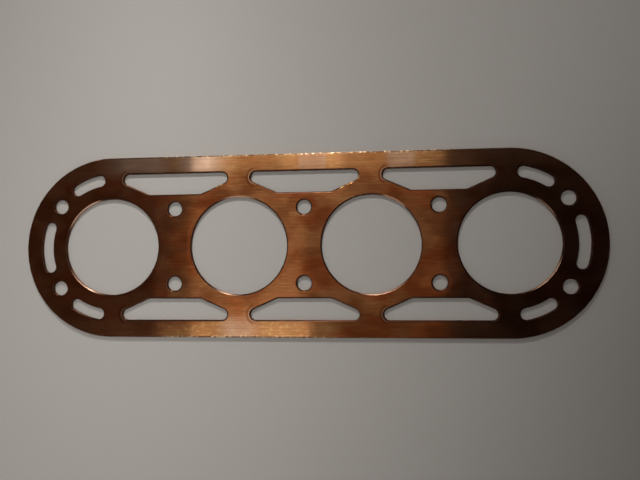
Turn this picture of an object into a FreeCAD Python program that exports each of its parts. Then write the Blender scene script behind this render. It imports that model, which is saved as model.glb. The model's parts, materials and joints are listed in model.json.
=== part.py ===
# Cylinder head gasket for a four-cylinder engine: one flat copper plate that
# is pierced for the bores, the head studs and the water passages.
# Millimetres. The plate lies on the XY plane with its lower face at Z = 0.
# X runs along the row of bores, Y across it, and the origin is under the
# middle of the plate. It is the same left to right and front to back.

import FreeCAD, Part
import math
import os
import Sketcher

from FreeCAD import Vector

NODE = "gasket_plate"

# name, millimetres or degrees, what it is
DRIVING_SIZES = (
    ("bore_count", 4, "cylinder bores in the row"),
    ("bore_diameter", 62.0, "clear diameter of a bore"),
    ("bore_bridge", 22.0, "metal between one bore and the next"),
    ("plate_thickness", 2.0, "thickness of the sheet"),
    ("stud_hole_diameter", 9.0, "clear diameter of a head stud's hole"),
    ("stud_row_offset", 24.0, "centre line of the plate to a row of studs"),
    ("stud_web", 5.0, "metal between a stud hole and the water slot beyond it"),
    ("rail_slot_depth", 13.5, "a rail slot's size across the plate"),
    ("rail_width", 11.0, "the straight rail outside the slots"),
    ("rail_bridge", 15.2, "metal between one rail slot and the next"),
    ("rail_slot_floor", 33.4, "straight inner edge of a rail slot"),
    ("rail_slot_tip_radius", 3.5, "round tip at each end of a rail slot"),
    ("rail_slot_corner_radius", 1.5, "round corner at each end of the inner edge"),
    ("end_wall", 9.6, "metal between an end bore and its curved slots"),
    ("end_slot_width", 7.0, "width of a curved slot"),
    ("end_slot_half_angle", 16.9, "centre of the outermost slot to its tip's centre"),
    ("side_slot_half_angle", 10.3, "the same on the two slots beside it"),
    ("end_land", 7.7, "metal between a curved slot's tip and a stud hole"),
    ("lip_radius", 0.9, "rolled upper edge of every hole"),
    ("edge_break", 0.2, "lower edge of every hole"),
    ("rim_radius", 0.3, "upper and lower edge of the outline"),
)
SIZE = {name: value for name, value, meaning in DRIVING_SIZES}

# Sizes that follow from the driving ones, as the sheet's own expressions
BORE_PITCH = "(Sizes.bore_diameter + Sizes.bore_bridge)"
BORE_ROW = f"((Sizes.bore_count - 1) * {BORE_PITCH})"
STUD_ROW = f"((Sizes.bore_count - 2) * {BORE_PITCH})"
SLOT_FLOOR_Y = "(Sizes.stud_row_offset + Sizes.stud_hole_diameter / 2 + Sizes.stud_web)"
SLOT_TOP_Y = f"({SLOT_FLOOR_Y} + Sizes.rail_slot_depth)"
HALF_WIDTH = f"({SLOT_TOP_Y} + Sizes.rail_width)"
SLOT_TIP_SPAN = f"({BORE_PITCH} - Sizes.rail_bridge - 2 * Sizes.rail_slot_tip_radius)"
END_INNER = "(Sizes.bore_diameter / 2 + Sizes.end_wall)"
END_OUTER = f"({END_INNER} + Sizes.end_slot_width)"
END_CIRCLE = f"({END_INNER} + Sizes.end_slot_width / 2)"
LAND_ANGLE = (
    "((Sizes.end_slot_width / 2 + Sizes.end_land + Sizes.stud_hole_diameter / 2)"
    f" / {END_CIRCLE} * 180 / pi)"
)
END_STUD_ANGLE = f"(Sizes.end_slot_half_angle + {LAND_ANGLE})"
SIDE_SLOT_START = f"({END_STUD_ANGLE} + {LAND_ANGLE})"
SIDE_SLOT_STOP = f"({SIDE_SLOT_START} + 2 * Sizes.side_slot_half_angle)"

# The same sizes as numbers, to draw each sketch close to its solved place
pitch = SIZE["bore_diameter"] + SIZE["bore_bridge"]
bore_row = (SIZE["bore_count"] - 1) * pitch
slot_floor_y = SIZE["stud_row_offset"] + SIZE["stud_hole_diameter"] / 2 + SIZE["stud_web"]
slot_top_y = slot_floor_y + SIZE["rail_slot_depth"]
half_width = slot_top_y + SIZE["rail_width"]
end_inner = SIZE["bore_diameter"] / 2 + SIZE["end_wall"]
end_outer = end_inner + SIZE["end_slot_width"]
end_circle = end_inner + SIZE["end_slot_width"] / 2
land_angle = math.degrees(
    (SIZE["end_slot_width"] / 2 + SIZE["end_land"] + SIZE["stud_hole_diameter"] / 2) / end_circle
)
end_stud_angle = SIZE["end_slot_half_angle"] + land_angle
side_slot_start = end_stud_angle + land_angle
side_slot_stop = side_slot_start + 2 * SIZE["side_slot_half_angle"]

# A sketch's own numbers for the points of a line or arc, and for its two axes
START_INDEX, END_INDEX, CENTRE_INDEX = 1, 2, 3
H_AXIS_INDEX, V_AXIS_INDEX = -1, -2
ORIGIN = (H_AXIS_INDEX, START_INDEX)

TOLERANCE = 1e-6

doc = FreeCAD.newDocument("head_gasket")

sheet = doc.addObject("Spreadsheet::Sheet", "Sizes")
for row, (name, value, meaning) in enumerate(DRIVING_SIZES, start=1):
    sheet.set(f"A{row}", name)
    sheet.set(f"B{row}", str(value))
    sheet.set(f"C{row}", meaning)
    sheet.setAlias(f"B{row}", name)
doc.recompute()

body = doc.addObject("PartDesign::Body", NODE)
body.Label = NODE


def origin_plane(role):
    """One of the body's own three planes, found by its role."""
    return next(item for item in body.Origin.OriginFeatures if item.Role == role)


def new_sketch(name, x_expression=None):
    """A sketch on the lower face, with its own origin moved along X."""
    sketch = body.newObject("Sketcher::SketchObject", name)
    sketch.AttachmentSupport = [(origin_plane("XY_Plane"), "")]
    sketch.MapMode = "FlatFace"
    if x_expression:
        sketch.setExpression("AttachmentOffset.Base.x", x_expression)
    return sketch


def constrain(sketch, *terms):
    """Add one geometric constraint."""
    return sketch.addConstraint(Sketcher.Constraint(*terms))


def dimension(sketch, name, expression, *terms):
    """Add one dimension and bind it to the sheet."""
    index = constrain(sketch, *terms)
    sketch.renameConstraint(index, name)
    sketch.setExpression(f"Constraints.{name}", expression)


def add_arc(sketch, centre, radius, start_degrees, stop_degrees):
    """Add an arc that runs anticlockwise between two angles."""
    circle = Part.Circle(centre, Vector(0, 0, 1), radius)
    arc = Part.ArcOfCircle(circle, math.radians(start_degrees), math.radians(stop_degrees))
    return sketch.addGeometry(arc)


def add_line(sketch, start, end, construction=False):
    """Add a straight line, or a construction line that only guides."""
    return sketch.addGeometry(Part.LineSegment(start, end), construction)


def polar(radius, degrees):
    """A point at a radius and an angle from the sketch's origin."""
    angle = math.radians(degrees)
    return Vector(radius * math.cos(angle), radius * math.sin(angle), 0)


def add_spoke(sketch, name, degrees, angle_expression):
    """Add a construction line from the bore's centre at a bound angle."""
    spoke = add_line(sketch, Vector(0, 0, 0), polar(end_circle, degrees), construction=True)
    constrain(sketch, "Coincident", spoke, START_INDEX, *ORIGIN)
    dimension(sketch, name, angle_expression, "Angle", spoke, math.radians(degrees))
    return spoke


def add_curved_slot(sketch, start_degrees, stop_degrees, start_expression, stop_expression):
    """Add a slot that follows a circle round the bore, with round tips."""
    origin = Vector(0, 0, 0)
    outer = add_arc(sketch, origin, end_outer, start_degrees, stop_degrees)
    inner = add_arc(sketch, origin, end_inner, start_degrees, stop_degrees)
    tip_radius = SIZE["end_slot_width"] / 2
    stop_tip = add_arc(
        sketch, polar(end_circle, stop_degrees), tip_radius, stop_degrees, stop_degrees + 180
    )
    start_tip = add_arc(
        sketch, polar(end_circle, start_degrees), tip_radius, start_degrees + 180, start_degrees + 360
    )
    constrain(sketch, "Coincident", outer, CENTRE_INDEX, *ORIGIN)
    constrain(sketch, "Coincident", inner, CENTRE_INDEX, *ORIGIN)
    constrain(sketch, "Tangent", outer, END_INDEX, stop_tip, START_INDEX)
    constrain(sketch, "Tangent", stop_tip, END_INDEX, inner, END_INDEX)
    constrain(sketch, "Tangent", inner, START_INDEX, start_tip, START_INDEX)
    constrain(sketch, "Tangent", start_tip, END_INDEX, outer, START_INDEX)
    dimension(sketch, "outer_radius", END_OUTER, "Radius", outer, end_outer)
    dimension(sketch, "inner_radius", END_INNER, "Radius", inner, end_inner)
    start_spoke = add_spoke(sketch, "start_angle", start_degrees, start_expression)
    stop_spoke = add_spoke(sketch, "stop_angle", stop_degrees, stop_expression)
    constrain(sketch, "Coincident", start_spoke, END_INDEX, start_tip, CENTRE_INDEX)
    constrain(sketch, "Coincident", stop_spoke, END_INDEX, stop_tip, CENTRE_INDEX)


def pierce(name, sketch):
    """Cut a sketch right through the plate."""
    pocket = body.newObject("PartDesign::Pocket", name)
    pocket.Profile = sketch
    pocket.Type = "ThroughAll"
    pocket.Reversed = True
    sketch.Visibility = False
    return pocket


def row_pattern(name, sketch, length_expression, count_expression):
    """Repeat along the row of bores."""
    pattern = doc.addObject("PartDesign::LinearPattern", name)
    body.addObject(pattern)
    pattern.Direction = (sketch, ["H_Axis"])
    pattern.setExpression("Length", length_expression)
    pattern.setExpression("Occurrences", count_expression)
    return pattern


def mirror(name, role):
    """Repeat on the other side of one of the body's planes."""
    mirrored = doc.addObject("PartDesign::Mirrored", name)
    body.addObject(mirrored)
    mirrored.MirrorPlane = (origin_plane(role), [""])
    return mirrored


def repeat(name, pocket, *steps):
    """Apply patterns and mirrors one after another to one cut."""
    repeated = body.newObject("PartDesign::MultiTransform", name)
    repeated.Originals = [pocket]
    repeated.Transformations = list(steps)
    body.Tip = repeated
    doc.recompute()
    return repeated


# Outline: two straight rails joined by half circles round the end bores
outline = new_sketch("outline")
half_row = bore_row / 2
lower_rail = add_line(outline, Vector(-half_row, -half_width, 0), Vector(half_row, -half_width, 0))
right_end = add_arc(outline, Vector(half_row, 0, 0), half_width, -90, 90)
upper_rail = add_line(outline, Vector(half_row, half_width, 0), Vector(-half_row, half_width, 0))
left_end = add_arc(outline, Vector(-half_row, 0, 0), half_width, 90, 270)
constrain(outline, "Tangent", lower_rail, END_INDEX, right_end, START_INDEX)
constrain(outline, "Tangent", right_end, END_INDEX, upper_rail, START_INDEX)
constrain(outline, "Tangent", upper_rail, END_INDEX, left_end, START_INDEX)
constrain(outline, "Tangent", left_end, END_INDEX, lower_rail, START_INDEX)
constrain(outline, "Symmetric", left_end, CENTRE_INDEX, right_end, CENTRE_INDEX, *ORIGIN)
constrain(outline, "PointOnObject", right_end, CENTRE_INDEX, H_AXIS_INDEX)
constrain(outline, "Equal", left_end, right_end)
dimension(outline, "end_radius", HALF_WIDTH, "Radius", right_end, half_width)
dimension(
    outline, "bore_row", BORE_ROW,
    "DistanceX", left_end, CENTRE_INDEX, right_end, CENTRE_INDEX, bore_row,
)

plate = body.newObject("PartDesign::Pad", "plate")
plate.Profile = outline
plate.setExpression("Length", "Sizes.plate_thickness")
outline.Visibility = False
doc.recompute()

# Bores: one at the left end of the row, then the others along it
bore_sketch = new_sketch("bore_circle", f"-{BORE_ROW} / 2")
bore_circle = bore_sketch.addGeometry(
    Part.Circle(Vector(0, 0, 0), Vector(0, 0, 1), SIZE["bore_diameter"] / 2)
)
constrain(bore_sketch, "Coincident", bore_circle, CENTRE_INDEX, *ORIGIN)
dimension(
    bore_sketch, "bore", "Sizes.bore_diameter", "Diameter", bore_circle, SIZE["bore_diameter"]
)
bores = pierce("first_bore", bore_sketch)
repeat("bores", bores, row_pattern("bore_spacing", bore_sketch, BORE_ROW, "Sizes.bore_count"))

# Inner stud holes: a pair between each two bores
stud_sketch = new_sketch("stud_circle", f"-{STUD_ROW} / 2")
stud_circle = stud_sketch.addGeometry(
    Part.Circle(
        Vector(0, SIZE["stud_row_offset"], 0), Vector(0, 0, 1), SIZE["stud_hole_diameter"] / 2
    )
)
constrain(stud_sketch, "PointOnObject", stud_circle, CENTRE_INDEX, V_AXIS_INDEX)
dimension(
    stud_sketch, "row_offset", "Sizes.stud_row_offset",
    "DistanceY", *ORIGIN, stud_circle, CENTRE_INDEX, SIZE["stud_row_offset"],
)
dimension(
    stud_sketch, "hole", "Sizes.stud_hole_diameter", "Diameter", stud_circle,
    SIZE["stud_hole_diameter"],
)
repeat(
    "stud_holes",
    pierce("first_stud_hole", stud_sketch),
    row_pattern("stud_spacing", stud_sketch, STUD_ROW, "Sizes.bore_count - 1"),
    mirror("stud_holes_other_rail", "XZ_Plane"),
)

# Rail slots: long water passages with their long edge along the rail. The
# inner edge is shorter, because the slot narrows round the two bores beside it.
slot_sketch = new_sketch("rail_slot", f"-{STUD_ROW} / 2")
tip_radius = SIZE["rail_slot_tip_radius"]
corner_radius = SIZE["rail_slot_corner_radius"]
tip = Vector((pitch - SIZE["rail_bridge"]) / 2 - tip_radius, slot_top_y - tip_radius, 0)
corner = Vector(SIZE["rail_slot_floor"] / 2, slot_floor_y + corner_radius, 0)
tip_to_corner = corner - tip
side_normal = math.degrees(
    math.atan2(tip_to_corner.y, tip_to_corner.x)
    + math.acos((tip_radius - corner_radius) / tip_to_corner.Length)
)
right_side = (
    tip + polar(tip_radius, side_normal),
    corner + polar(corner_radius, side_normal),
)
long_edge = add_line(slot_sketch, Vector(-tip.x, slot_top_y, 0), Vector(tip.x, slot_top_y, 0))
right_tip = add_arc(slot_sketch, tip, tip_radius, side_normal, 90)
right_edge = add_line(slot_sketch, *right_side)
right_corner = add_arc(slot_sketch, corner, corner_radius, -90, side_normal)
inner_edge = add_line(
    slot_sketch, Vector(corner.x, slot_floor_y, 0), Vector(-corner.x, slot_floor_y, 0)
)
left_corner = add_arc(
    slot_sketch, Vector(-corner.x, corner.y, 0), corner_radius, 180 - side_normal, 270
)
left_edge = add_line(
    slot_sketch,
    Vector(-right_side[1].x, right_side[1].y, 0),
    Vector(-right_side[0].x, right_side[0].y, 0),
)
left_tip = add_arc(slot_sketch, Vector(-tip.x, tip.y, 0), tip_radius, 90, 180 - side_normal)
constrain(slot_sketch, "Tangent", long_edge, END_INDEX, right_tip, END_INDEX)
constrain(slot_sketch, "Tangent", right_tip, START_INDEX, right_edge, START_INDEX)
constrain(slot_sketch, "Tangent", right_edge, END_INDEX, right_corner, END_INDEX)
constrain(slot_sketch, "Tangent", right_corner, START_INDEX, inner_edge, START_INDEX)
constrain(slot_sketch, "Tangent", inner_edge, END_INDEX, left_corner, END_INDEX)
constrain(slot_sketch, "Tangent", left_corner, START_INDEX, left_edge, START_INDEX)
constrain(slot_sketch, "Tangent", left_edge, END_INDEX, left_tip, END_INDEX)
constrain(slot_sketch, "Tangent", left_tip, START_INDEX, long_edge, START_INDEX)
constrain(slot_sketch, "Symmetric", long_edge, START_INDEX, long_edge, END_INDEX, V_AXIS_INDEX)
constrain(slot_sketch, "Symmetric", inner_edge, START_INDEX, inner_edge, END_INDEX, V_AXIS_INDEX)
constrain(slot_sketch, "Equal", right_tip, left_tip)
constrain(slot_sketch, "Equal", right_corner, left_corner)
dimension(
    slot_sketch, "tip_radius", "Sizes.rail_slot_tip_radius", "Radius", right_tip, tip_radius
)
dimension(
    slot_sketch, "corner_radius", "Sizes.rail_slot_corner_radius", "Radius", right_corner,
    corner_radius,
)
dimension(
    slot_sketch, "top_y", SLOT_TOP_Y, "DistanceY", *ORIGIN, long_edge, END_INDEX, slot_top_y
)
dimension(
    slot_sketch, "floor_y", SLOT_FLOOR_Y, "DistanceY", *ORIGIN, inner_edge, START_INDEX, slot_floor_y
)
dimension(
    slot_sketch, "tip_span", SLOT_TIP_SPAN,
    "DistanceX", left_tip, CENTRE_INDEX, right_tip, CENTRE_INDEX, 2 * tip.x,
)
dimension(
    slot_sketch, "floor", "Sizes.rail_slot_floor",
    "DistanceX", inner_edge, END_INDEX, inner_edge, START_INDEX, SIZE["rail_slot_floor"],
)
repeat(
    "rail_slots",
    pierce("first_rail_slot", slot_sketch),
    row_pattern("rail_slot_spacing", slot_sketch, STUD_ROW, "Sizes.bore_count - 1"),
    mirror("rail_slots_other_rail", "XZ_Plane"),
)

# Outermost curved slots: one round each end bore, on the centre line
end_slot_sketch = new_sketch("end_slot", f"{BORE_ROW} / 2")
end_half_angle = SIZE["end_slot_half_angle"]
add_curved_slot(
    end_slot_sketch, -end_half_angle, end_half_angle,
    "-Sizes.end_slot_half_angle", "Sizes.end_slot_half_angle",
)
repeat(
    "end_slots",
    pierce("first_end_slot", end_slot_sketch),
    mirror("end_slots_other_end", "YZ_Plane"),
)

# Side slots: the same width and circle, beyond the end studs
side_slot_sketch = new_sketch("side_slot", f"{BORE_ROW} / 2")
add_curved_slot(
    side_slot_sketch, side_slot_start, side_slot_stop, SIDE_SLOT_START, SIDE_SLOT_STOP
)
repeat(
    "side_slots",
    pierce("first_side_slot", side_slot_sketch),
    mirror("side_slots_other_rail", "XZ_Plane"),
    mirror("side_slots_other_end", "YZ_Plane"),
)

# End stud holes: between the curved slots, on the same circle
end_stud_sketch = new_sketch("end_stud", f"{BORE_ROW} / 2")
end_stud_circle = end_stud_sketch.addGeometry(
    Part.Circle(
        polar(end_circle, end_stud_angle), Vector(0, 0, 1), SIZE["stud_hole_diameter"] / 2
    )
)
stud_spoke = add_spoke(end_stud_sketch, "stud_angle", end_stud_angle, END_STUD_ANGLE)
constrain(end_stud_sketch, "Coincident", stud_spoke, END_INDEX, end_stud_circle, CENTRE_INDEX)
dimension(end_stud_sketch, "circle", END_CIRCLE, "Distance", stud_spoke, end_circle)
dimension(
    end_stud_sketch, "hole", "Sizes.stud_hole_diameter", "Diameter", end_stud_circle,
    SIZE["stud_hole_diameter"],
)
pierced = repeat(
    "end_stud_holes",
    pierce("first_end_stud_hole", end_stud_sketch),
    mirror("end_studs_other_rail", "XZ_Plane"),
    mirror("end_studs_other_end", "YZ_Plane"),
)


def edges_at(feature, height, outside):
    """Names of the edges at a height, on the outline or round the holes."""
    edges = feature.Shape.Edges
    face = next(
        item for item in feature.Shape.Faces
        if item.BoundBox.ZLength < TOLERANCE and abs(item.BoundBox.ZMin - height) < TOLERANCE
    )
    wanted = [
        edge for wire in face.Wires if wire.isSame(face.OuterWire) == outside for edge in wire.Edges
    ]
    return [
        f"Edge{index}" for index, edge in enumerate(edges, start=1)
        if any(edge.isSame(item) for item in wanted)
    ]


def round_edges(name, feature, edge_names, radius_expression):
    """Round a set of edges of the feature before this one."""
    fillet = body.newObject("PartDesign::Fillet", name)
    fillet.Base = (feature, edge_names)
    fillet.setExpression("Radius", radius_expression)
    body.Tip = fillet
    doc.recompute()
    return fillet


# Edges: the piercing punch rolls the upper edge of each hole over, leaves the
# lower edge nearly square, and the blanking tool leaves the outline the same.
thickness = SIZE["plate_thickness"]
lips = round_edges(
    "hole_lips", pierced, edges_at(pierced, thickness, outside=False),
    "min(Sizes.lip_radius; 0.6 * Sizes.plate_thickness)",
)
lower_breaks = round_edges(
    "hole_breaks", lips, edges_at(lips, 0.0, outside=False),
    "min(Sizes.edge_break; 0.2 * Sizes.plate_thickness)",
)
rim_edges = edges_at(lower_breaks, thickness, True) + edges_at(lower_breaks, 0.0, True)
rim = round_edges(
    "outline_rim", lower_breaks, rim_edges,
    "min(Sizes.rim_radius; 0.4 * Sizes.plate_thickness)",
)

# Report and write
for item in doc.Objects:
    if "Invalid" in item.State or "Error" in item.State:
        raise RuntimeError(f"{item.Name} failed: {item.State}")
    if item.TypeId == "Sketcher::SketchObject" and not item.FullyConstrained:
        raise RuntimeError(f"{item.Name} isn't fully constrained")

shape = body.Shape
if shape.isNull() or not shape.isValid() or len(shape.Solids) != 1:
    raise RuntimeError("the plate isn't one valid solid")

os.makedirs("parts", exist_ok=True)
shape.exportStep(f"parts/{body.Label}.step")
box = shape.optimalBoundingBox()
print(f"{body.Label}: {box.XLength:.3f} x {box.YLength:.3f} x {box.ZLength:.3f} mm")
print(f"volume {shape.Volume:.1f} mm3, area {shape.Area:.1f} mm2, faces {len(shape.Faces)}")
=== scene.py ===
# %% [markdown]
# # A copper cylinder head gasket
#
# The real object is one sheet of copper, taken to be 2 mm thick. A press pierces such a gasket for
# the cylinder bores, the head studs and the water passages, and here they are four, ten and
# twelve. It is clamped between an engine's block and its cylinder head, where the soft metal
# seals the joint.
#
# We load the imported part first. Everything that follows is built around it, in metres.

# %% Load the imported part
import json
import math

import bmesh
import bpy
from mathutils import Matrix, Vector, noise


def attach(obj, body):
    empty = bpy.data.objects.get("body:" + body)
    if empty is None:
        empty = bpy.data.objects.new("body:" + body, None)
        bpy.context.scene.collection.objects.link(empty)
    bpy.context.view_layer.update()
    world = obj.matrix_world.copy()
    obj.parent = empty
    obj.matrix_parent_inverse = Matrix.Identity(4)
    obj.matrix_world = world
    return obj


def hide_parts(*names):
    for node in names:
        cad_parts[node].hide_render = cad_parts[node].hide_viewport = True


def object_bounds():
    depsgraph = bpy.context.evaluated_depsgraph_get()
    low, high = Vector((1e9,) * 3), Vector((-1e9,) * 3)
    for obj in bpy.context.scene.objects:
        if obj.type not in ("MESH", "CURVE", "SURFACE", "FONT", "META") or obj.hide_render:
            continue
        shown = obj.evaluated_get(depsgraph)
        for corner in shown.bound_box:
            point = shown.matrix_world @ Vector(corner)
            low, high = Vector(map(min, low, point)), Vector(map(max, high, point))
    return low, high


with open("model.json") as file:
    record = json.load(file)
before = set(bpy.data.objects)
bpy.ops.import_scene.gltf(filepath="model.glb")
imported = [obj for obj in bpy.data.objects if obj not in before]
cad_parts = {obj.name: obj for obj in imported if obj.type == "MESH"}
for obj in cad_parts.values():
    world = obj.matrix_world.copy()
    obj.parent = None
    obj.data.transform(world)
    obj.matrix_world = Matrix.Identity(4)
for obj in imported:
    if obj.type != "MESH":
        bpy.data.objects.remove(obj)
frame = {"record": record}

MM = 0.001

cad_low, cad_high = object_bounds()
print("CAD box in mm:", [round(side / MM, 3) for side in cad_high - cad_low])

# %% [markdown]
# ## Sizes
#
# The sheet is shaped in millimetres, because an edge that is rolled to 0.9 mm is easier to read
# that way, and it is made metres at the end. The record's mounts give the bores and the stud
# holes, and the CAD box gives the outline and the thickness. The water passages have no mount,
# so their sizes are written here as they are in the CAD model.

# %% Read the sizes
mounts = {mount["name"]: mount for mount in frame["record"]["mounts"]}

bore_centres = [mounts[f"bore_{number}"]["pos_m"][0] / MM for number in range(1, 5)]
bore_radius = mounts["bore_1"]["dims"]["r_mm"]
bore_pitch = bore_centres[1] - bore_centres[0]
stud_radius = mounts["middle_studs"]["dims"]["hole_r_mm"]
stud_row = mounts["middle_studs"]["dims"]["spacing_y_mm"] / 2
end_stud_x = mounts["end_studs"]["dims"]["spacing_x_mm"] / 2
end_stud_y = mounts["end_studs"]["dims"]["spacing_y_mm"] / 2

thickness = (cad_high.z - cad_low.z) / MM
half_width = (cad_high.y - cad_low.y) / 2 / MM
half_row = bore_centres[3]
slot_centres = [-bore_pitch, 0.0, bore_pitch]

RAIL_WIDTH = 11.0
RAIL_SLOT_DEPTH = 13.5
RAIL_BRIDGE = 15.2
RAIL_SLOT_FLOOR = 33.4
TIP_RADIUS = 3.5
CORNER_RADIUS = 1.5
CURVED_SLOT_WIDTH = 7.0
CURVED_SLOT_WALL = 9.6
END_SLOT_HALF_ANGLE = 16.9
SIDE_SLOT_HALF_ANGLE = 10.3

LIP_RADIUS = 0.9
EDGE_BREAK = 0.2
RIM_RADIUS = 0.3

print("bores at", bore_centres, "radius", bore_radius, "half width", round(half_width, 3))

# %% [markdown]
# ## Tracing the holes
#
# A toolmaker draws a punch as straight runs and arcs, and we trace each hole the same way: one
# vertex is walked along the line, and leaves edges behind it. `extrude_vert_indiv` draws a
# straight run. `spin` turns the vertex round a centre and draws an arc, in steps that are short
# enough for the edge to look round when it catches the light.

# %% Two strokes of the pencil
RUN_STEP = 1.5
ARC_STEP = 1.2
TURN_STEP = 8.0

sheet = bmesh.new()


def run(vert, x, y):
    """Draw a straight line from a vertex to a place, and return the vertex there."""
    way = Vector((x, y, 0)) - vert.co
    pieces = max(1, round(way.length / RUN_STEP))
    for _ in range(pieces):
        vert = bmesh.ops.extrude_vert_indiv(sheet, verts=[vert])["verts"][0]
        bmesh.ops.translate(sheet, verts=[vert], vec=way / pieces)
    return vert


def swing(vert, centre, degrees):
    """Draw an arc from a vertex round a centre, and return the vertex at its end."""
    centre = Vector((centre[0], centre[1], 0))
    length = (vert.co - centre).length * math.radians(abs(degrees))
    steps = max(round(length / ARC_STEP), round(abs(degrees) / TURN_STEP))
    spun = bmesh.ops.spin(
        sheet, geom=[vert], cent=centre, axis=(0, 0, 1), angle=math.radians(degrees),
        steps=steps, use_duplicate=False, use_merge=False,
    )
    return next(item for item in spun["geom_last"] if isinstance(item, bmesh.types.BMVert))


def at_angle(centre, radius, degrees):
    """A place on a circle."""
    angle = math.radians(degrees)
    return centre[0] + radius * math.cos(angle), centre[1] + radius * math.sin(angle)


# %% [markdown]
# The outline is a racetrack: two straight rails, and a half circle round each end bore.

# %% Trace the outline
corner = sheet.verts.new((-half_row, -half_width, 0))
corner = run(corner, half_row, -half_width)
corner = swing(corner, (half_row, 0), 180)
corner = run(corner, -half_row, half_width)
corner = swing(corner, (-half_row, 0), 180)
print("outline points:", len(sheet.verts))

# %% [markdown]
# Round holes need no tracing. `create_circle` sets each one down where the record says it is.

# %% Bores and stud holes
BORE_STEPS = 180
STUD_STEPS = 48


def round_hole(x, y, radius, steps):
    """Set down the circle of a drilled or pierced hole."""
    bmesh.ops.create_circle(
        sheet, cap_ends=False, segments=steps, radius=radius, matrix=Matrix.Translation((x, y, 0))
    )


stud_places = [(x, side * stud_row) for x in slot_centres for side in (-1, 1)]
stud_places += [(end * end_stud_x, side * end_stud_y) for end in (-1, 1) for side in (-1, 1)]
for x in bore_centres:
    round_hole(x, 0, bore_radius, BORE_STEPS)
for x, y in stud_places:
    round_hole(x, y, stud_radius, STUD_STEPS)
print("stud holes:", len(stud_places))

# %% [markdown]
# A rail slot is a long passage that narrows towards the bores beside it. Its slanted sides touch
# two circles, a tip and a corner, so the angle of each side follows from where they are.

# %% Trace the rail slots
slot_top = half_width - RAIL_WIDTH
slot_floor = slot_top - RAIL_SLOT_DEPTH
tip = Vector(((bore_pitch - RAIL_BRIDGE) / 2 - TIP_RADIUS, slot_top - TIP_RADIUS, 0))
knee = Vector((RAIL_SLOT_FLOOR / 2, slot_floor + CORNER_RADIUS, 0))
slant = knee - tip
side_normal = math.degrees(
    math.atan2(slant.y, slant.x) + math.acos((TIP_RADIUS - CORNER_RADIUS) / slant.length)
)


def rail_slot(x, side):
    """Trace one rail slot, on the upper rail for side 1 and on the lower one for side -1."""
    def place(point):
        return x + point[0], side * point[1]

    right_tip = (tip.x, tip.y)
    left_tip = (-tip.x, tip.y)
    right_knee = (knee.x, knee.y)
    left_knee = (-knee.x, knee.y)
    vert = sheet.verts.new((*place((-tip.x, slot_top)), 0))
    vert = run(vert, *place((tip.x, slot_top)))
    vert = swing(vert, place(right_tip), side * (side_normal - 90))
    vert = run(vert, *place(at_angle(right_knee, CORNER_RADIUS, side_normal)))
    vert = swing(vert, place(right_knee), side * (-90 - side_normal))
    vert = run(vert, *place((-knee.x, slot_floor)))
    vert = swing(vert, place(left_knee), side * (-90 - side_normal))
    vert = run(vert, *place(at_angle(left_tip, TIP_RADIUS, 180 - side_normal)))
    swing(vert, place(left_tip), side * (side_normal - 90))


for x in slot_centres:
    for side in (-1, 1):
        rail_slot(x, side)
print("side of a rail slot leans at", round(side_normal + 90, 1), "degrees")

# %% [markdown]
# The curved slots all follow one circle round an end bore, with a round tip at each end. The
# side slots start as far beyond an end stud as the end slot stops before it.

# %% Trace the curved slots
inner_radius = bore_radius + CURVED_SLOT_WALL
outer_radius = inner_radius + CURVED_SLOT_WIDTH
middle_radius = inner_radius + CURVED_SLOT_WIDTH / 2
stud_angle = math.degrees(math.atan2(end_stud_y, end_stud_x - half_row))
side_slot_start = 2 * stud_angle - END_SLOT_HALF_ANGLE
side_slot_stop = side_slot_start + 2 * SIDE_SLOT_HALF_ANGLE


def curved_slot(bore_x, start, stop):
    """Trace a slot round an end bore between two angles, anticlockwise."""
    bore = (bore_x, 0)
    vert = sheet.verts.new((*at_angle(bore, outer_radius, start), 0))
    vert = swing(vert, bore, stop - start)
    vert = swing(vert, at_angle(bore, middle_radius, stop), 180)
    vert = swing(vert, bore, start - stop)
    swing(vert, at_angle(bore, middle_radius, start), 180)


for bore_x, facing in ((half_row, 0), (-half_row, 180)):
    curved_slot(bore_x, facing - END_SLOT_HALF_ANGLE, facing + END_SLOT_HALF_ANGLE)
    curved_slot(bore_x, facing + side_slot_start, facing + side_slot_stop)
    curved_slot(bore_x, facing - side_slot_stop, facing - side_slot_start)
print("curved slots between radii", round(inner_radius, 2), "and", round(outer_radius, 2))

# %% [markdown]
# ## From lines to sheet metal
#
# Each loop ends where it began, so the doubled points are merged. `triangle_fill` then fills the
# outline and leaves the holes open, and the fill is extruded to the sheet's thickness.

# %% Fill and thicken the sheet
CLOSE = 0.01
CM3 = 0.001

bmesh.ops.remove_doubles(sheet, verts=sheet.verts[:], dist=CLOSE)
bmesh.ops.triangle_fill(
    sheet, edges=sheet.edges[:], use_beauty=True, use_dissolve=False, normal=(0, 0, 1)
)
thickened = bmesh.ops.extrude_face_region(sheet, geom=sheet.faces[:])
upper = [item for item in thickened["geom"] if isinstance(item, bmesh.types.BMVert)]
bmesh.ops.translate(sheet, verts=upper, vec=(0, 0, thickness))
bmesh.ops.recalc_face_normals(sheet, faces=sheet.faces[:])
open_edges = sum(1 for edge in sheet.edges if len(edge.link_faces) != 2)
print("volume", round(sheet.calc_volume() * CM3, 3), "cm3, open edges", open_edges)

# %% [markdown]
# ## Edges that a press leaves
#
# A punch drags the upper edge of a hole down before it breaks through, so that edge is a round
# lip, while the lower edge stays nearly square. `bevel` with a profile of 0.5 makes a true
# quarter round. The outline looks sharper than the holes in the photo, so it is only eased.

# %% Roll the lips and ease the outline
LIP_SEGMENTS = 8
BREAK_SEGMENTS = 3
SHARP_TURN = 0.5


def on_outline(point):
    """Whether a point lies on the outer edge and not round a hole."""
    return math.hypot(max(abs(point.x) - half_row, 0), point.y) > half_width - RIM_RADIUS


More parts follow.
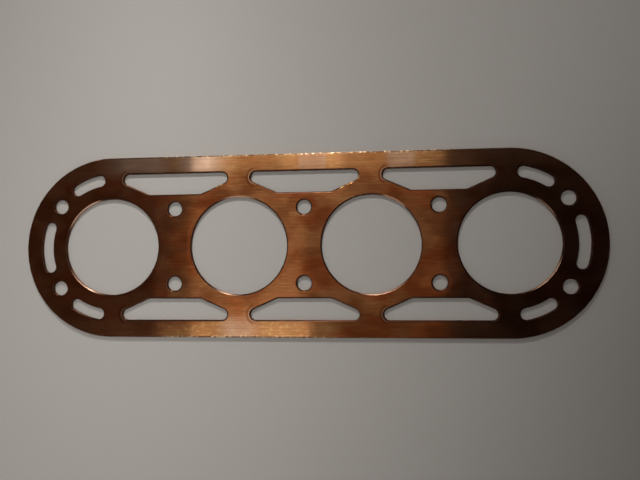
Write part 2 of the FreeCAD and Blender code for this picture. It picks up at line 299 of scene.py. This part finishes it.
def square_edges(height, outer):
    """The sharp edges at one height, of the outline or of the holes."""
    chosen = []
    for edge in sheet.edges:
        at_height = all(abs(vert.co.z - height) < CLOSE for vert in edge.verts)
        one, other = [face.normal.z for face in edge.link_faces]
        if at_height and abs(one - other) > SHARP_TURN:
            if on_outline((edge.verts[0].co + edge.verts[1].co) / 2) == outer:
                chosen.append(edge)
    return chosen


def round_over(edges, radius, segments):
    """Round a set of edges with a true quarter circle."""
    bmesh.ops.bevel(
        sheet, geom=edges, offset=radius, offset_type="OFFSET", segments=segments, profile=0.5,
        affect="EDGES", clamp_overlap=False, loop_slide=False, material=-1,
    )


round_over(square_edges(thickness, outer=False), LIP_RADIUS, LIP_SEGMENTS)
round_over(square_edges(0, outer=False), EDGE_BREAK, BREAK_SEGMENTS)
rim = square_edges(thickness, outer=True) + square_edges(0, outer=True)
round_over(rim, RIM_RADIUS, BREAK_SEGMENTS)
print("faces:", len(sheet.faces), "volume", round(sheet.calc_volume() * CM3, 3), "cm3")

# %% [markdown]
# ## A face that isn't quite flat
#
# Soft copper never lies dead flat. The press draws the face down a little round every hole, and
# handling leaves a shallow ripple. The face has no points of its own to move yet, so two rings
# are inset along every hole, and `bisect_plane` cuts a grid across the rest.

# %% Inset rings and a grid on the upper face
RING_WIDTHS = (0.5, 0.8)
GRID_STEP = 2.0
FACING_UP = 0.9999

flat = [
    face for face in sheet.faces
    if face.normal.z > FACING_UP and face.calc_center_median().z > thickness - CLOSE
]
ring_verts = []
for width in RING_WIDTHS:
    edge_verts = {vert for face in flat for vert in face.verts}
    ring_verts.append(edge_verts)
    bmesh.ops.inset_region(
        sheet, faces=flat, use_boundary=True, use_even_offset=True, thickness=width, depth=0
    )
print("points per ring:", [len(ring) for ring in ring_verts])

tops = set(flat)
region = flat + [edge for edge in sheet.edges if not tops.isdisjoint(edge.link_faces)]
region += [vert for vert in sheet.verts if not tops.isdisjoint(vert.link_faces)]
for axis, reach in (((1, 0, 0), half_row + half_width), ((0, 1, 0), half_width)):
    for number in range(-int(reach / GRID_STEP), int(reach / GRID_STEP) + 1):
        place = Vector(axis) * (number * GRID_STEP)
        cut = bmesh.ops.bisect_plane(
            sheet, geom=region, dist=CLOSE / 10, plane_co=place, plane_no=axis
        )
        region = cut["geom"]
print("faces after the grid:", len(sheet.faces))

# %% [markdown]
# Now the rings drop, less along the outline than round the holes, and smooth noise lifts and
# lowers the rest. The ripple is scaled by height, so that the lower face stays on the paper. No
# point moves by more than 0.05 mm, yet the reflections bend as they do in the photo.

# %% Draw in the holes and ripple the face
RING_DROP = (0.012, 0.004)
OUTLINE_SHARE = 0.4
RIPPLE_HEIGHT = 0.03
RIPPLE_LENGTH = 34.0

for ring, drop in zip(ring_verts, RING_DROP):
    for vert in ring:
        if vert.is_valid:
            vert.co.z -= drop * (OUTLINE_SHARE if on_outline(vert.co) else 1.0)
for vert in sheet.verts:
    ripple = noise.noise(Vector((vert.co.x, vert.co.y, 0)) / RIPPLE_LENGTH)
    vert.co.z += RIPPLE_HEIGHT * ripple * max(0.0, vert.co.z) / thickness
heights = [vert.co.z for vert in sheet.verts]
print("heights from", round(min(heights), 3), "to", round(max(heights), 3), "mm")

# %% [markdown]
# ## Burrs
#
# The photo shows bright specks along the rails, where the cut edge is ragged. A small shake of
# the rim's own points makes the edge catch the light unevenly, as a burr does. Each direction
# reads the same noise from its own starting place, so that the burrs are the same on every run.

# %% Leave burrs on the rim
BURR = Vector((0.05, 0.05, 0.03))
BURR_LENGTH = 1.7
BURR_STARTS = (Vector((0.0, 0.0, 0.0)), Vector((31.7, 5.3, 0.0)), Vector((7.9, 41.1, 0.0)))

for vert in sheet.verts:
    if on_outline(vert.co) and vert.co.z > thickness / 2:
        shake = Vector([noise.noise(vert.co / BURR_LENGTH + start) for start in BURR_STARTS])
        vert.co += shake * BURR
print("open edges:", sum(1 for edge in sheet.edges if len(edge.link_faces) != 2))

# %% [markdown]
# ## The finished piece
#
# Three marks are stored on the points for the finish to read: how far a point is round the lip,
# whether it is on the cut wall, and whether it belongs to a bore. A flat map along the sheet gives
# the rolling direction, which the brushed look needs, and it leans with the height so that the
# walls have a direction too. Then the sheet becomes metres, and the object stays at the origin.

# %% Mark the lips and walls, and make the object
lip_mark = sheet.verts.layers.float.new("lip")
wall_mark = sheet.verts.layers.float.new("wall")
bore_mark = sheet.verts.layers.float.new("bore")
rolling_map = sheet.loops.layers.uv.new("rolling")
WALL_TOP = thickness - LIP_RADIUS
LIP_GAIN = 200.0
WALL_SLOPE = 0.95
MAP_SIZE = 400.0
MAP_LEAN = 0.4

for vert in sheet.verts:
    slope = 1.0 - abs(vert.normal.z)
    vert[lip_mark] = min(1.0, slope * LIP_GAIN) if vert.co.z > WALL_TOP else 0.0
    vert[wall_mark] = 1.0 if slope > WALL_SLOPE and vert.co.z < WALL_TOP + CLOSE else 0.0
    nearest = min(math.hypot(vert.co.x - x, vert.co.y) for x in bore_centres)
    vert[bore_mark] = 1.0 if nearest < bore_radius + LIP_RADIUS + CLOSE else 0.0
for face in sheet.faces:
    for loop in face.loops:
        point = loop.vert.co
        loop[rolling_map].uv = (
            (point.y + point.z) / MAP_SIZE, (point.x + MAP_LEAN * point.z) / MAP_SIZE
        )
    face.smooth = True
bmesh.ops.scale(sheet, verts=sheet.verts[:], vec=(MM, MM, MM))
bmesh.ops.triangulate(sheet, faces=sheet.faces[:], quad_method="BEAUTY", ngon_method="BEAUTY")

gasket_mesh = bpy.data.meshes.new("copper_gasket")
sheet.to_mesh(gasket_mesh)
sheet.free()
gasket = bpy.data.objects.new("copper_gasket", gasket_mesh)
bpy.context.scene.collection.objects.link(gasket)
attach(gasket, "root")
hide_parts("gasket_plate")
print("triangles:", len(gasket_mesh.polygons))

# %% [markdown]
# ## Rolled copper
#
# Copper sheet leaves the rolls with fine lines along its length. They blur a reflection across
# the lines and keep it sharp along them, which `Anisotropic` does. The sheet is also stained, and
# its colour carries painted light and shade too. It is brown at its left end, nearly black at its
# right end and orange between the bores, and its rails are paler than its webs. The dark ends and
# pale rails are partly the metal's own tone and partly painted shade and painted sheen for what
# the copper reflects. The dark rounded edges are painted shade, and bright arcs and specks are
# painted highlights. One image of all this would be simple to make, but it would be tied to one
# size. Masks made from noise and from places on the sheet need no image.

# %% A small helper to wire nodes
def wire(tree, kind, sockets=None, **settings):
    """Add a node, set its options, and fill its sockets with values or links."""
    made = tree.nodes.new(kind)
    for name, value in settings.items():
        setattr(made, name, value)
    for name, value in (sockets or {}).items():
        if isinstance(value, bpy.types.NodeSocket):
            tree.links.new(value, made.inputs[name])
        else:
            made.inputs[name].default_value = value
    return made


copper = bpy.data.materials.new("rolled_copper")
copper.use_nodes = True
tree = copper.node_tree
tree.nodes.clear()


def pattern(scale, detail=2.0, distortion=0.0):
    """Noise over the sheet. The three scales count its waves per millimetre."""
    stretched = wire(tree, "ShaderNodeMapping", {"Vector": coords, "Scale": [s / MM for s in scale]})
    return wire(
        tree, "ShaderNodeTexNoise",
        {"Vector": stretched.outputs[0], "Scale": 1.0, "Detail": detail, "Distortion": distortion},
    ).outputs["Fac"]


def level(value, low, high, to_low=0.0, to_high=1.0):
    """Bring a value that runs from low to high to a new range, with a soft start and stop."""
    return wire(
        tree, "ShaderNodeMapRange",
        {"Value": value, "From Min": low, "From Max": high, "To Min": to_low, "To Max": to_high},
        interpolation_type="SMOOTHSTEP",
    ).outputs["Result"]


def math_of(kind, first, second=0.0):
    """One step of arithmetic on two values."""
    return wire(tree, "ShaderNodeMath", {0: first, 1: second}, operation=kind).outputs[0]


def product(first, *others):
    """Several values multiplied, which is how masks are laid over each other."""
    for other in others:
        first = math_of("MULTIPLY", first, other)
    return first


def without(mask, depth=1.0):
    """What a mask leaves: all of it outside the mask, and one less the depth inside."""
    return math_of("SUBTRACT", 1.0, math_of("MULTIPLY", mask, depth))


def distance(x, y):
    """How far away a place is, from how far it is along and across."""
    return math_of("SQRT", math_of("ADD", math_of("POWER", x, 2.0), math_of("POWER", y, 2.0)))


def blend(amount, first, second, kind="MIX"):
    """Mix two colours."""
    return wire(
        tree, "ShaderNodeMix", {"Factor": amount, "A": first, "B": second},
        data_type="RGBA", blend_type=kind,
    ).outputs["Result"]


coords = wire(tree, "ShaderNodeTexCoord").outputs["Object"]
place = wire(tree, "ShaderNodeSeparateXYZ", {"Vector": coords})
along = math_of("DIVIDE", place.outputs["X"], MM)
across = math_of("DIVIDE", place.outputs["Y"], MM)
print("copper's nodes are started")

# %% [markdown]
# The colours are laid on from the widest to the finest, and each is one mask over one colour. The
# first sets the rails apart from the webs. The rails are painted paler, partly their own tone and
# partly a painted sheen for the bright reflections on them. The upper rail is pale along its whole
# length, and the lower one only up to its middle, where its painted sheen stops. Uneven noise frays
# the edge of the mask.

# %% Webs and rails
WEB_COPPER = (0.54, 0.195, 0.070, 1)
RAIL_COPPER_AND_SHEEN = (0.74, 0.335, 0.125, 1)
RAIL_START = 41.0
RAIL_FULL = 52.0
LOWER_RAIL_END = (4.0, 30.0)
BLOTCH_WAVES = (0.06, 0.11, 0.05)
BLOTCH_FRAY = 1.6

blotches = pattern(BLOTCH_WAVES, detail=4.0, distortion=0.8)
uneven = math_of("SUBTRACT", blotches, 0.5)
upper_rail = level(across, RAIL_START, RAIL_FULL)
lower_rail = product(
    level(across, -RAIL_FULL, -RAIL_START, 1.0, 0.0), level(along, *LOWER_RAIL_END, 1.0, 0.0)
)
rail = math_of("MAXIMUM", upper_rail, lower_rail)
# Rails painted paler than the webs: partly their own tone, partly painted sheen.
body = blend(math_of("ADD", rail, product(uneven, BLOTCH_FRAY)), WEB_COPPER, RAIL_COPPER_AND_SHEEN)
print("rails are pale beyond", RAIL_START, "mm from the middle line")

# %% [markdown]
# The ends are painted darker, partly tarnish and partly painted shade for the dark room that they
# reflect. The left end is brown and the right end nearly black, and the noise makes the edge wander.

# %% Tarnish and painted shade at the ends
BROWN_COPPER = (0.42, 0.145, 0.065, 1)
DARK_END_COPPER = (0.38, 0.165, 0.095, 1)
LEFT_DARK_END = (-98.0, -77.0)
RIGHT_DARK_END = (80.0, 104.0)
DARK_END_WANDER = 36.0
DARK_END_DEPTH = 0.85

wandering = math_of("ADD", along, product(uneven, DARK_END_WANDER))
left_darkening = level(wandering, *LEFT_DARK_END, 1.0, 0.0)
right_darkening = level(wandering, *RIGHT_DARK_END)
tarnish_and_shade = math_of("MAXIMUM", left_darkening, right_darkening)
# Ends painted darker: partly tarnish, partly painted shade.
body = blend(product(left_darkening, DARK_END_DEPTH), body, BROWN_COPPER)
body = blend(product(right_darkening, DARK_END_DEPTH), body, DARK_END_COPPER)
print("tarnish starts at", LEFT_DARK_END, "and", RIGHT_DARK_END, "mm")

# %% [markdown]
# The rails have bands of painted highlight, bright reflections painted into the colour. Each band
# is given by its middle, its half length and the width of its soft edge, all in millimetres, and by
# its strength.

# %% Painted highlights on the rails
HIGHLIGHT_COPPER = (0.88, 0.57, 0.39, 1)
UPPER_SHEEN_BANDS = (
    (-68.0, 23.0, 20.0, 0.95), (-108.0, 32.0, 26.0, 0.9), (5.5, 10.0, 3.0, 0.45),
    (61.0, 10.5, 4.0, 0.5),
)
LOWER_SHEEN_BANDS = ((-42.0, 16.0, 11.0, 0.60),)


def bands(places):
    """A mask of bands across the sheet."""
    mask = 0.0
    for centre, half_length, edge_width, strength in places:
        off_centre = math_of("ABSOLUTE", math_of("SUBTRACT", along, centre))
        band = level(off_centre, half_length - edge_width, half_length, strength, 0.0)
        mask = math_of("MAXIMUM", mask, band)
    return mask


painted_sheen = math_of(
    "MAXIMUM", product(bands(UPPER_SHEEN_BANDS), upper_rail), product(bands(LOWER_SHEEN_BANDS), lower_rail)
)
print("bands:", len(UPPER_SHEEN_BANDS), "above and", len(LOWER_SHEEN_BANDS), "below")

# %% [markdown]
# Golden metal shows as if it were scuffed. It shows as short dashes that follow the rolling lines,
# and the lower rail also has coarse grains. Both fade where the ends are painted dark, and the
# dashes are weaker on the webs.

# %% Golden dashes and grains
GOLDEN_COPPER = (0.90, 0.50, 0.20, 1)
DASH_WAVES = (0.10, 1.1, 0.05)
DASH_LEVELS = (0.54, 0.64, 0.0, 0.55)
GRAIN_WAVES = (0.30, 0.50, 0.05)
GRAIN_LEVELS = (0.52, 0.64, 0.0, 0.75)
WEB_SCUFFS = 0.45
SCUFF_FADE = 0.7

dashes = level(pattern(DASH_WAVES, detail=3.0), *DASH_LEVELS)
grains = product(level(pattern(GRAIN_WAVES, detail=4.0), *GRAIN_LEVELS), lower_rail)
shining = product(
    math_of("MAXIMUM", dashes, grains), level(rail, 0.0, 1.0, WEB_SCUFFS, 1.0),
    without(tarnish_and_shade, SCUFF_FADE),
)
body = blend(shining, body, GOLDEN_COPPER)
# Painted highlight bands on the rails.
body = blend(painted_sheen, body, HIGHLIGHT_COPPER)
print("scuffs on the webs are", WEB_SCUFFS, "of those on the rails")

# %% [markdown]
# Stains darken what is under them, so they are multiplied in. Soft brown clouds and redder
# patches of oxide lie mostly on the webs, and thin grey lines run along the whole sheet.

# %% Clouds, red oxide and rolling lines
STAIN_AND_SHADE = (0.60, 0.47, 0.40, 1)
RED_OXIDE = (1.0, 0.74, 0.62, 1)
GREY_LINES = (0.45, 0.40, 0.36, 1)
CLOUDS = (
    # colour, waves per mm, detail, distortion, noise levels and strengths, share on the rails
    (STAIN_AND_SHADE, (0.040, 0.055, 0.05), 2.5, 0.0, (0.40, 0.62, 0.0, 0.8), 0.5),
    (RED_OXIDE, (0.032, 0.045, 0.05), 2.0, 0.5, (0.46, 0.60, 0.0, 0.9), 0.3),
)
LINE_WAVES = (0.010, 1.3, 0.05)
LINE_LEVELS = (0.35, 0.65, 0.34, 0.0)
LINE_FADING = (0.35, 0.65, 0.35, 1.0)

for colour, waves, detail, distortion, levels, on_rails in CLOUDS:
    cloud = level(pattern(waves, detail, distortion), *levels)
    body = blend(product(cloud, level(rail, 0.0, 1.0, 1.0, on_rails)), body, colour, "MULTIPLY")
lines = pattern(LINE_WAVES, detail=3.0)
lined = product(level(lines, *LINE_LEVELS), level(blotches, *LINE_FADING))
rolled = blend(lined, body, GREY_LINES, "MULTIPLY")
print("kinds of cloud:", len(CLOUDS))

# %% [markdown]
# Along the outer edge, the glints of the ragged burrs are painted as bright specks in a strip that
# is as wide as the edge is ragged, only on the rails and fading where the ends are painted dark.

# %% Painted glints on the burrs
BURR_GLINT_COPPER = (1.0, 0.74, 0.45, 1)
BURR_REACH = 1.8
BURR_WAVES = (0.8, 0.6, 0.3)
BURR_LEVELS = (0.52, 0.59)
BURR_STRENGTH = 0.6
BURR_FADE = 0.8

ragged = level(pattern(BURR_WAVES, detail=2.0), *BURR_LEVELS)
near_rim = level(math_of("ABSOLUTE", across), half_width - BURR_REACH, half_width - BURR_REACH / 2)
burr_glints = product(ragged, near_rim, rail, without(tarnish_and_shade, BURR_FADE))
# Painted glints along the ragged rim.
rolled = blend(product(burr_glints, BURR_STRENGTH), rolled, BURR_GLINT_COPPER)
print("burrs reach", BURR_REACH, "mm in from the rim")

# %% [markdown]
# Beside the left tips of the rail slots a brown arc of painted shade is laid, with a painted
# highlight inside it, as a face that slopes down towards the tip darkens and then catches the light.
# The slots repeat with the bores, so the place along the sheet is wrapped to one slot, and one pair
# of arcs serves all six tips.

# %% Arcs at the tips of the rail slots
SHADE_ARC = (1.3, 3.0, 0.75)
HIGHLIGHT_ARC = (0.8, 1.5, 0.45)
ARC_SOFTNESS = 0.35

in_slot = math_of("WRAP", along, -bore_pitch / 2)
in_slot.node.inputs[2].default_value = bore_pitch / 2
from_tip_x = math_of("ADD", in_slot, tip.x)
from_tip_y = math_of("SUBTRACT", math_of("ABSOLUTE", across), tip.y)
from_edge = math_of("SUBTRACT", distance(from_tip_x, from_tip_y), TIP_RADIUS)
left_of_tip = level(from_tip_x, -TIP_RADIUS, 0.0, 1.0, 0.0)


def arc(near, far, strength):
    """A mask that follows a tip between two distances from its edge."""
    inside = level(from_edge, near - ARC_SOFTNESS, near + ARC_SOFTNESS)
    outside = level(from_edge, far - ARC_SOFTNESS, far + ARC_SOFTNESS, 1.0, 0.0)
    return product(inside, outside, left_of_tip, strength)


# Brown arc of painted shade, then a bright arc of painted highlight.
rolled = blend(arc(*SHADE_ARC), rolled, STAIN_AND_SHADE, "MULTIPLY")
rolled = blend(arc(*HIGHLIGHT_ARC), rolled, HIGHLIGHT_COPPER)
print("arcs reach", SHADE_ARC[1], "mm from the edge")

# %% [markdown]
# Glints are painted on the slanted right sides of the upper slots too, with the same ragged specks.
# They sit on the lip only, so the lip's mark on the points keeps them to it.

# %% Painted glints on the slots' right sides
SPECK_PLACE = (29.0, 37.0)
SPECK_REACH = 10.0

lip = wire(tree, "ShaderNodeAttribute", attribute_name="lip").outputs["Fac"]
from_side = distance(
    math_of("SUBTRACT", in_slot, SPECK_PLACE[0]), math_of("SUBTRACT", across, SPECK_PLACE[1])
)
on_side = level(from_side, SPECK_REACH / 2, SPECK_REACH, 1.0, 0.0)
slot_glints = product(ragged, on_side, lip, without(tarnish_and_shade))
# Painted glints on the slots' slanted sides.
rolled = blend(slot_glints, rolled, GOLDEN_COPPER)
print("specks within", SPECK_REACH, "mm of", SPECK_PLACE, "in each slot")

# %% [markdown]
# The rounded edges and cut walls are painted nearly black, a painted shade for the dark room they
# reflect. Some arcs of the bores' lips are painted bright instead, as painted highlights. Each arc
# is given by its bore, the angle of its middle in degrees, its reach in millimetres and its
# strength.

# %% Painted shade and highlights on the edges
EDGE_SHADE_COPPER = (0.045, 0.020, 0.013, 1)
BLACK_EDGE_SHADE = (0.018, 0.009, 0.007, 1)
LIP_HIGHLIGHTS = (
    (1, 130, 16, 0.9), (1, 235, 17, 0.35), (2, 90, 13, 0.4), (2, 258, 11, 0.15),
    (3, 284, 18, 0.25), (3, 62, 10, 0.4), (4, 318, 16, 0.35), (4, 45, 10, 0.15),
)
FULL_HIGHLIGHT = 0.4
EDGE_BREAKUP_WAVES = (0.40, 0.40, 0.1)
EDGE_BREAKUP_LEVELS = (0.52, 0.66, 1.0, 0.90)

wall = wire(tree, "ShaderNodeAttribute", attribute_name="wall").outputs["Fac"]
bore = wire(tree, "ShaderNodeAttribute", attribute_name="bore").outputs["Fac"]
lip_highlights = 0.0
for number, angle, reach, strength in LIP_HIGHLIGHTS:
    middle = at_angle((bore_centres[number - 1] * MM, 0), bore_radius * MM, angle)
    away = wire(
        tree, "ShaderNodeVectorMath", {0: coords, 1: (*middle, thickness * MM)}, operation="DISTANCE"
    ).outputs["Value"]
    lip_highlight = level(away, FULL_HIGHLIGHT * reach * MM, reach * MM, strength, 0.0)
    lip_highlights = math_of("MAXIMUM", lip_highlights, lip_highlight)
lip_highlights = product(lip_highlights, bore)
glinting = math_of("MAXIMUM", lip_highlights, math_of("MAXIMUM", burr_glints, slot_glints))
edge_breakup = level(pattern(EDGE_BREAKUP_WAVES, detail=3.0), *EDGE_BREAKUP_LEVELS)
edge = product(math_of("MAXIMUM", lip, wall), edge_breakup, without(glinting))
# Painted shade on rounded edges and walls, and painted highlights on some lip arcs.
edged = blend(edge, rolled, blend(right_darkening, EDGE_SHADE_COPPER, BLACK_EDGE_SHADE))
edged = blend(product(lip_highlights, lip), edged, HIGHLIGHT_COPPER)
print("clean arcs:", len(LIP_HIGHLIGHTS))

# %% [markdown]
# The sheet is almost a mirror. A roughness near 0.1 blurs the edges of what it reflects by about
# as much as the photo shows, and the blotches change it a little. One bump cuts the rolling
# lines, and a second, very wide one bends the reflections as a sheet that isn't quite flat does.

# %% Shine of the copper
BASE_ROUGHNESS = 0.095
BLOTCH_ROUGHNESS = (0.3, 0.7, BASE_ROUGHNESS, BASE_ROUGHNESS + 0.03)
EDGE_ROUGHNESS = 0.28
BRUSHING = 0.95
LINE_BUMP = {"Strength": 0.35, "Distance": 0.000004}
BOW_WAVES = (0.012, 0.018, 0.0)
BOW_BUMP = {"Strength": 1.0, "Distance": 0.0003}

roughness = math_of(
    "ADD", level(blotches, *BLOTCH_ROUGHNESS), product(math_of("MAXIMUM", lip, wall), EDGE_ROUGHNESS)
)
lined_face = wire(tree, "ShaderNodeBump", {**LINE_BUMP, "Height": lines})
bowed_face = wire(
    tree, "ShaderNodeBump",
    {**BOW_BUMP, "Height": pattern(BOW_WAVES, detail=0.0), "Normal": lined_face.outputs[0]},
)
rolling = wire(tree, "ShaderNodeTangent", direction_type="UV_MAP", uv_map="rolling")
metal = wire(
    tree, "ShaderNodeBsdfPrincipled",
    {"Base Color": edged, "Metallic": 1.0, "Roughness": roughness, "Anisotropic": BRUSHING,
     "Normal": bowed_face.outputs[0], "Tangent": rolling.outputs[0]},
)
wire(tree, "ShaderNodeOutputMaterial", {"Surface": metal.outputs[0]})
gasket_mesh.materials.append(copper)
print("copper is brushed along X by", BRUSHING)

# %% [markdown]
# ## Floor
#
# The gasket lies on a plain pale surface, made here as nearly matt paper. The paper is a hair
# below the copper, so that the two faces don't show through each other.

# %% Lay the floor
FLOOR_SIZE = 6.0
FLOOR_GAP = 0.00005
PAPER = (0.343, 0.322, 0.296, 1)
PAPER_ROUGHNESS = 0.9
PAPER_SHEEN = 0.2

floor_shape = bmesh.new()
bmesh.ops.create_grid(floor_shape, x_segments=1, y_segments=1, size=FLOOR_SIZE / 2)
floor_mesh = bpy.data.meshes.new("floor")
floor_shape.to_mesh(floor_mesh)
floor_shape.free()
floor = bpy.data.objects.new("floor", floor_mesh)
floor.location.z = -FLOOR_GAP
bpy.context.scene.collection.objects.link(floor)
paper = bpy.data.materials.new("pale_paper")
paper.use_nodes = True
paper_skin = paper.node_tree.nodes["Principled BSDF"]
paper_skin.inputs["Base Color"].default_value = PAPER
paper_skin.inputs["Roughness"].default_value = PAPER_ROUGHNESS
paper_skin.inputs["Specular IOR Level"].default_value = PAPER_SHEEN
floor_mesh.materials.append(paper)
print("floor", FLOOR_SIZE, "m square")

# %% [markdown]
# ## Light
#
# A mirror shows its room, and this sheet is close to a mirror. The real room isn't known, so the
# sheet gets a ceiling with long rows of panels, bright over the left and middle and dim past both
# ends, which give the rails and webs their steps from pale to dark. A row is the strip of ceiling
# between two places, nearer to us and further off, in metres. Along a row, each panel is given by
# the place of its right end and by its radiance, because radiance is what the copper shows. A
# flat lamp takes its power instead, which is pi times its area times its radiance.

# %% Hang the softboxes
CEILING = 1.4
ROWS = {
    "far": (0.262, 0.60),
    "high": (0.15, 0.262),
    "middle": (-0.13, 0.15),
    "low": (-0.165, -0.13),
    "near": (-0.45, -0.165),
}
ROW_START = -1.20
ROW_STOPS = {
    "far": (
        (-0.80, 0.05), (-0.71, 0.08), (-0.52, 0.16), (-0.46, 1.15), (-0.394, 0.92), (-0.27, 0.70),
        (-0.10, 0.89), (0.0, 0.60), (0.10, 0.52), (0.168, 0.38), (0.24, 0.085), (0.34, 0.05),
        (0.70, 0.035),
    ),
    "high": (
        (-0.62, 0.06), (-0.52, 0.12), (-0.205, 0.14), (0.02, 0.19), (0.168, 0.135), (0.28, 0.035),
    ),
    "middle": (
        (-0.80, 0.05), (-0.62, 0.06), (-0.52, 0.15), (-0.35, 0.33), (-0.205, 0.42), (0.157, 0.21),
        (0.20, 0.075), (0.28, 0.045),
    ),
    "low": (
        (-0.62, 0.06), (-0.52, 0.20), (-0.195, 0.72), (-0.05, 0.20), (0.04, 0.36), (0.10, 0.20),
        (0.168, 0.09), (0.50, 0.02),
    ),
    "near": (
        (-0.80, 0.06), (-0.62, 0.10), (-0.52, 0.24), (-0.195, 0.82), (-0.06, 0.155), (0.05, 0.04),
        (0.168, 0.085), (0.50, 0.01),
    ),
}


def softbox(name, left, right, near, far, radiance):
    """A flat lamp that faces down, between four places on the ceiling."""
    lamp = bpy.data.lights.new(name, "AREA")
    lamp.shape = "RECTANGLE"
    lamp.size = right - left
    lamp.size_y = far - near
    lamp.energy = radiance * math.pi * lamp.size * lamp.size_y
    hung = bpy.data.objects.new(name, lamp)
    hung.location = ((left + right) / 2, (near + far) / 2, CEILING)
    hung.visible_camera = False
    bpy.context.scene.collection.objects.link(hung)


for row, (near, far) in ROWS.items():
    left = ROW_START
    for number, (right, radiance) in enumerate(ROW_STOPS[row], start=1):
        softbox(f"{row}_{number}", left, right, near, far, radiance)
        left = right
print("softboxes:", sum(len(stops) for stops in ROW_STOPS.values()))

# %% [markdown]
# Four small lamps shape the light on the paper. The key, low behind the sheet, throws the shadows
# towards us. The fill, straight overhead, lightens them, and the corner lamp lifts the far right
# of the paper. The glint lamp is low in front and picks out the burrs and the clean lips. A grid
# on each keeps its light to one part of the paper, and `spread` is that grid. The two overhead
# lamps would show in the copper as bright spots, so they are hidden from glossy rays.

# %% Set the lamps
LAMPS = (
    # name, place, target, size, watts, grid angle, seen in the copper
    ("key", (-0.12, 1.06, 0.74), (-0.09, 0.11, 0), 0.06, 0.41, 31, True),
    ("fill", (-0.17, -0.08, 1.1), (-0.17, -0.08, 0), 0.3, 0.32, 40, False),
    ("corner", (0.26, 0.24, 1.0), (0.26, 0.20, 0), 0.3, 0.07, 18, False),
    ("glint", (-0.20, -0.50, 0.28), (-0.08, -0.05, 0), 0.16, 0.035, 60, True),
)

for name, spot, target, size, watts, grid, mirrored in LAMPS:
    lamp = bpy.data.lights.new(name, "AREA")
    lamp.size = size
    lamp.energy = watts
    lamp.spread = math.radians(grid)
    hung = bpy.data.objects.new(name, lamp)
    hung.location = spot
    hung.rotation_euler = (Vector(target) - Vector(spot)).to_track_quat("-Z", "Y").to_euler()
    hung.visible_camera = False
    hung.visible_glossy = mirrored
    bpy.context.scene.collection.objects.link(hung)
print("lamps:", [row[0] for row in LAMPS])

# %% [markdown]
# The room is the world. It has pale walls, brighter at the back and left than at the front and
# right, below a dark ceiling. The flat copper shows the ceiling here, but seen from a low angle
# it shows the walls, so glossy rays meet walls that are paler than those that light the paper.

# %% The room
WALL_LEVEL = 0.39
MIRRORED_WALL_LEVEL = 1.0
CEILING_LEVEL = 0.022
WALL_TOP_EDGE = 0.46
CEILING_EDGE = 0.76
WALL_COLOUR = (1, 0.93, 0.88, 1)
DIM_SIDE = (0.8, -0.6)
SIDE_RANGE = {"From Min": -0.8, "From Max": 0.8, "To Min": 1.1, "To Max": 0.55}

room = bpy.data.worlds.new("room")
bpy.context.scene.world = room
room.use_nodes = True
sky = room.node_tree
sky.nodes.clear()
direction = wire(
    sky, "ShaderNodeSeparateXYZ", {"Vector": wire(sky, "ShaderNodeTexCoord").outputs["Generated"]}
)
glossy = wire(sky, "ShaderNodeLightPath").outputs["Is Glossy Ray"]
wall_level = wire(
    sky, "ShaderNodeMapRange", {"Value": glossy, "To Min": WALL_LEVEL, "To Max": MIRRORED_WALL_LEVEL}
)
height = wire(
    sky, "ShaderNodeMapRange",
    {"Value": direction.outputs["Z"], "From Min": WALL_TOP_EDGE, "From Max": CEILING_EDGE,
     "To Min": wall_level.outputs[0], "To Max": CEILING_LEVEL},
    interpolation_type="SMOOTHSTEP",
)
towards_right = wire(
    sky, "ShaderNodeMath", {0: direction.outputs["X"], 1: DIM_SIDE[0]}, operation="MULTIPLY"
)
towards_front = wire(
    sky, "ShaderNodeMath", {0: direction.outputs["Y"], 1: DIM_SIDE[1]}, operation="MULTIPLY"
)
facing = wire(sky, "ShaderNodeMath", {0: towards_right.outputs[0], 1: towards_front.outputs[0]})
side = wire(sky, "ShaderNodeMapRange", {"Value": facing.outputs[0], **SIDE_RANGE})
shade = wire(
    sky, "ShaderNodeMath", {0: height.outputs[0], 1: side.outputs[0]}, operation="MULTIPLY"
)
backdrop = wire(sky, "ShaderNodeBackground", {"Color": WALL_COLOUR, "Strength": shade.outputs[0]})
wire(sky, "ShaderNodeOutputWorld", {"Surface": backdrop.outputs[0]})
bpy.context.scene.view_settings.view_transform = "Standard"
print("walls", WALL_LEVEL, "ceiling", CEILING_LEVEL)

# %% [markdown]
# ## Camera
#
# The camera looks almost straight down from 43 cm above the sheet, a little right of its middle.
# Its place, its turn and its lens were fitted to the photo's edges of the outline and the holes.

# %% Set up the camera
FOCAL_PIXELS = 692.0
IMAGE_WIDTH = 640
SENSOR = 36.0
CAMERA_PLACE = (0.0628, -0.0190, 0.4313)
CAMERA_TURN = (0.051, 0.122, -0.012)

camera = bpy.data.objects.new("camera", bpy.data.cameras.new("camera"))
camera.data.sensor_width = SENSOR
camera.data.lens = FOCAL_PIXELS * SENSOR / IMAGE_WIDTH
camera.location = CAMERA_PLACE
camera.rotation_mode = "ZYX"
camera.rotation_euler = CAMERA_TURN
bpy.context.scene.collection.objects.link(camera)
bpy.context.scene.camera = camera
print("lens", round(camera.data.lens, 2), "mm")
